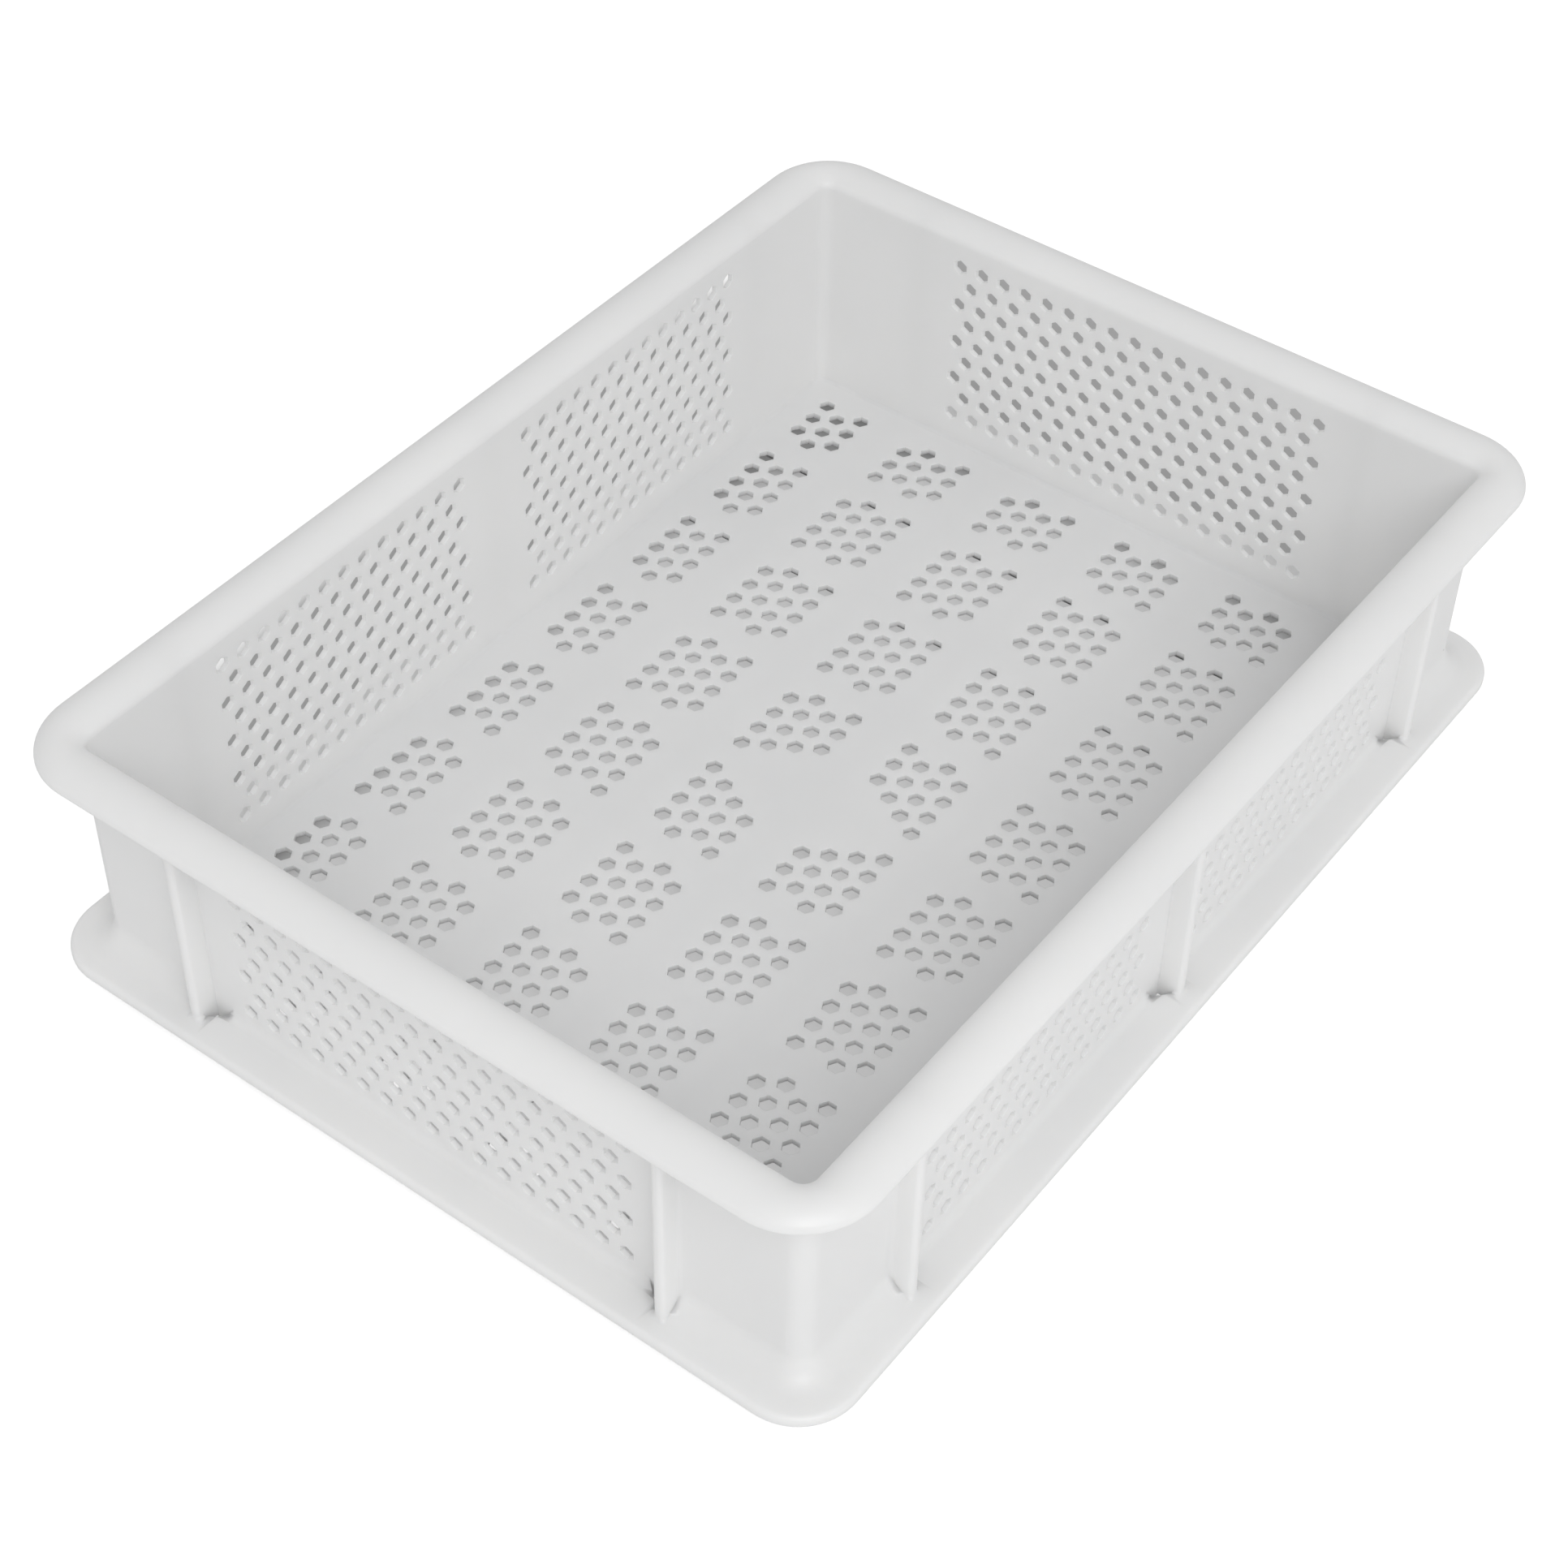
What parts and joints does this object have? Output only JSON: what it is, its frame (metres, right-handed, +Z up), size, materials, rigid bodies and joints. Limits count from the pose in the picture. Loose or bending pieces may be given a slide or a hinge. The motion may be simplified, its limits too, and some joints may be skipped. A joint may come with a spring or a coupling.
{
  "type": "stacking plastic crate",
  "caption": "Shallow rectangular stacking crate with a perforated floor and perforated side walls, a domed rim, a flanged foot and upright outside ribs.",
  "frame": {"origin": "middle of the crate's footprint, at the level it stands on", "axes": "+X along the long sides, +Y along the short sides, +Z up; front is -Y and left is -X"},
  "size_m": [0.529, 0.395, 0.1291],
  "materials": {
    "hdpe_white": "satin natural white polyethylene, slightly translucent, faint scuffs and specks"
  },
  "bodies": {
    "root": {"corner_back_left": "hdpe_white", "corner_back_right": "hdpe_white", "corner_front_left": "hdpe_white", "corner_front_right": "hdpe_white", "floor_plate": "hdpe_white", "floor_rib_cross_1": "hdpe_white", "floor_rib_cross_2": "hdpe_white", "floor_rib_cross_3": "hdpe_white", "floor_rib_cross_4": "hdpe_white", "floor_rib_cross_5": "hdpe_white", "floor_rib_cross_6": "hdpe_white", "floor_rib_cross_7": "hdpe_white", "floor_rib_long_1": "hdpe_white", "floor_rib_long_2": "hdpe_white", "floor_rib_long_3": "hdpe_white", "floor_rib_long_4": "hdpe_white", "floor_rib_long_5": "hdpe_white", "foot_back": "hdpe_white", "foot_front": "hdpe_white", "foot_left": "hdpe_white", "foot_right": "hdpe_white", "rib_back_left": "hdpe_white", "rib_back_middle": "hdpe_white", "rib_back_right": "hdpe_white", "rib_front_left": "hdpe_white", "rib_front_middle": "hdpe_white", "rib_front_right": "hdpe_white", "rib_left_back": "hdpe_white", "rib_left_front": "hdpe_white", "rib_right_back": "hdpe_white", "rib_right_front": "hdpe_white", "rim_back": "hdpe_white", "rim_front": "hdpe_white", "rim_left": "hdpe_white", "rim_right": "hdpe_white", "skirt_back": "hdpe_white", "skirt_front": "hdpe_white", "skirt_left": "hdpe_white", "skirt_right": "hdpe_white", "wall_back": "hdpe_white", "wall_front": "hdpe_white", "wall_left": "hdpe_white", "wall_right": "hdpe_white"}
  },
  "joints": []
}
